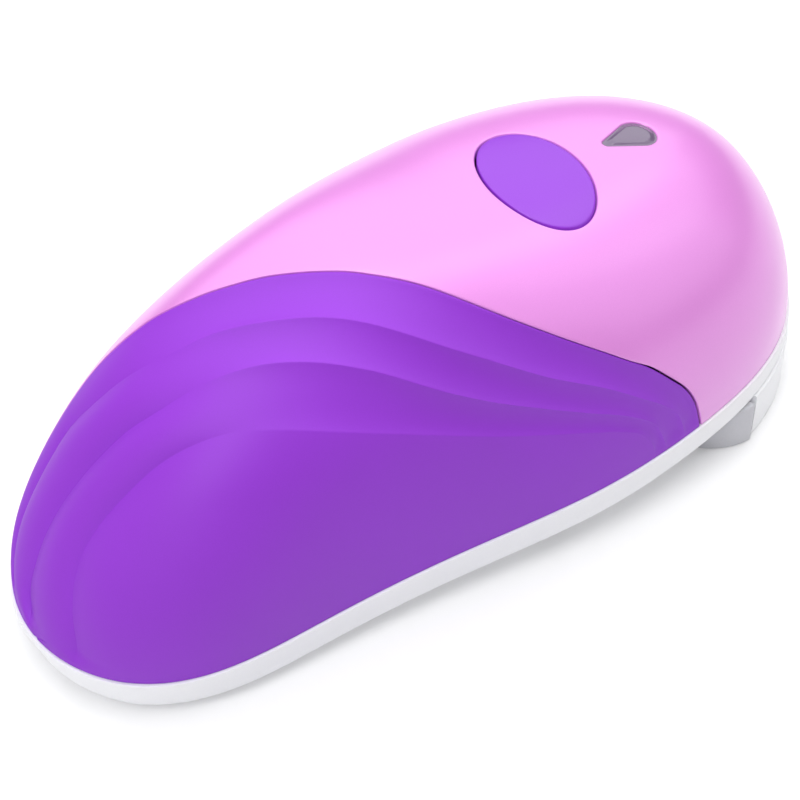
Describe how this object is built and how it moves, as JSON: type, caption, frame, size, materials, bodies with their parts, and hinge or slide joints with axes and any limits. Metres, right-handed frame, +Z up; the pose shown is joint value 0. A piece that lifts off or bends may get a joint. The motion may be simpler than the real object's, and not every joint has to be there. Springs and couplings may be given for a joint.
{
  "type": "electric can opener",
  "caption": "Cordless can opener with a two-colour rounded housing, thumb button, geared drive wheel and swinging cutter under a skirted head, standing on tail and skirt.",
  "frame": {"origin": "centre of the object's box in plan, on the surface it stands on", "axes": "+X towards the head (cutting end), +Y to the pink side, +Z up; the housing is pitched 3.9 degrees, head up, as it stands"},
  "size_m": [0.1702, 0.0762, 0.0617],
  "materials": {
    "pearl_pink": "pearlescent gloss, injection moulded",
    "soft_purple": "satin soft-touch",
    "white_plastic": "fine satin",
    "button_purple": "satin",
    "lens_smoke": "clear tinted, polished",
    "grey_plastic": "satin",
    "dark_plastic": "moulded",
    "cell_jacket": "printed jacket without lettering",
    "plated_steel": "bright zinc plate",
    "hardened_steel": "ground",
    "motor_metal": "drawn can",
    "nylon": "natural",
    "brass": "turned",
    "board_green": "solder resist",
    "black_plastic": "moulded",
    "led_clear": "clear epoxy",
    "zinc_alloy": "die cast, satin",
    "magnet_nickel": "nickel plate",
    "lead_red": "PVC sleeve",
    "lead_black": "PVC sleeve"
  },
  "bodies": {
    "housing": {"top_shell": "pearl_pink", "side_grip": "soft_purple", "base_shell": "white_plastic", "battery_holder": "dark_plastic", "cell_lower_left": "cell_jacket", "cell_lower_right": "cell_jacket", "cell_upper_left": "cell_jacket", "cell_upper_right": "cell_jacket", "contact_plate_tail": "plated_steel", "contact_plate_head": "plated_steel", "gearhead": "dark_plastic", "motor_can": "motor_metal", "motor_end_bell": "nylon", "idler_axle": "plated_steel", "shaft_bushing_lower": "brass", "shaft_bushing_upper": "brass", "gearbox_plate": "dark_plastic", "circuit_board": "board_green", "start_switch": "black_plastic", "indicator_led": "led_clear", "motor_driver_chip": "black_plastic", "button_spring": "plated_steel", "indicator_lens": "lens_smoke", "limit_switch": "black_plastic", "cutter_guard": "grey_plastic", "housing_screw_front": "plated_steel", "housing_screw_tail": "plated_steel", "housing_screw_left": "plated_steel", "housing_screw_right": "plated_steel", "plate_screw_1": "plated_steel", "plate_screw_2": "plated_steel", "plate_screw_3": "plated_steel", "plate_screw_4": "plated_steel", "guard_screw": "plated_steel", "motor_lead_red": "lead_red", "motor_lead_black": "lead_black", "battery_lead": "lead_red"},
    "button": {"power_button": "button_purple"},
    "door": {"battery_door": "white_plastic"},
    "drive": {"main_gear": "nylon", "drive_shaft": "plated_steel", "drive_wheel": "hardened_steel", "drive_wheel_screw": "plated_steel"},
    "idler": {"idler_gear": "nylon"},
    "pinion": {"output_pinion": "brass"},
    "arm": {"cutter_arm": "zinc_alloy", "arm_pivot_pin": "plated_steel", "arm_crank": "zinc_alloy", "cutter_screw": "plated_steel"},
    "cutter": {"cutting_wheel": "hardened_steel"},
    "magnet": {"magnet_holder": "white_plastic", "lid_magnet": "magnet_nickel", "magnet_clip": "plated_steel"}
  },
  "joints": [
    {"name": "button_press", "type": "slide", "parent": "housing", "child": "button", "axis": [0.0678, 0, -0.9977], "range_m": [0, 0.0012], "stiffness_N_per_m": 300, "springref_m": -0.003, "deforming": ["button_spring"]},
    {"name": "door_swing", "type": "hinge", "parent": "housing", "child": "door", "pos_m": [-0.00511, 0, 0.00416], "axis": [0, -1, 0], "range_deg": [0, 75]},
    {"name": "drive_spin", "type": "hinge", "parent": "housing", "child": "drive", "pos_m": [0.04877, 0, 0.00482], "axis": [-0.0678, 0, 0.9977], "continuous": true},
    {"name": "idler_spin", "type": "hinge", "parent": "housing", "child": "idler", "pos_m": [0.02605, 0.01394, 0.0153], "axis": [-0.0678, 0, 0.9977], "continuous": true},
    {"name": "pinion_spin", "type": "hinge", "parent": "housing", "child": "pinion", "pos_m": [0.00925, 0, 0.01115], "axis": [-0.0678, 0, 0.9977], "continuous": true},
    {"name": "arm_swing", "type": "hinge", "parent": "housing", "child": "arm", "pos_m": [0.05975, -0.02, 0.00556], "axis": [-0.0678, 0, 0.9977], "range_deg": [0, 14.5]},
    {"name": "cutter_spin", "type": "hinge", "parent": "arm", "child": "cutter", "pos_m": [0.06727, -0.003, 0.00407], "axis": [-0.0678, 0, 0.9977], "continuous": true},
    {"name": "magnet_float", "type": "slide", "parent": "housing", "child": "magnet", "axis": [-0.0678, 0, 0.9977], "range_m": [0, 0.0015]}
  ],
  "couplings": [
    {"joint": "idler_spin", "follows": "drive_spin", "ratio": -3.3333},
    {"joint": "pinion_spin", "follows": "drive_spin", "ratio": 11.333}
  ]
}
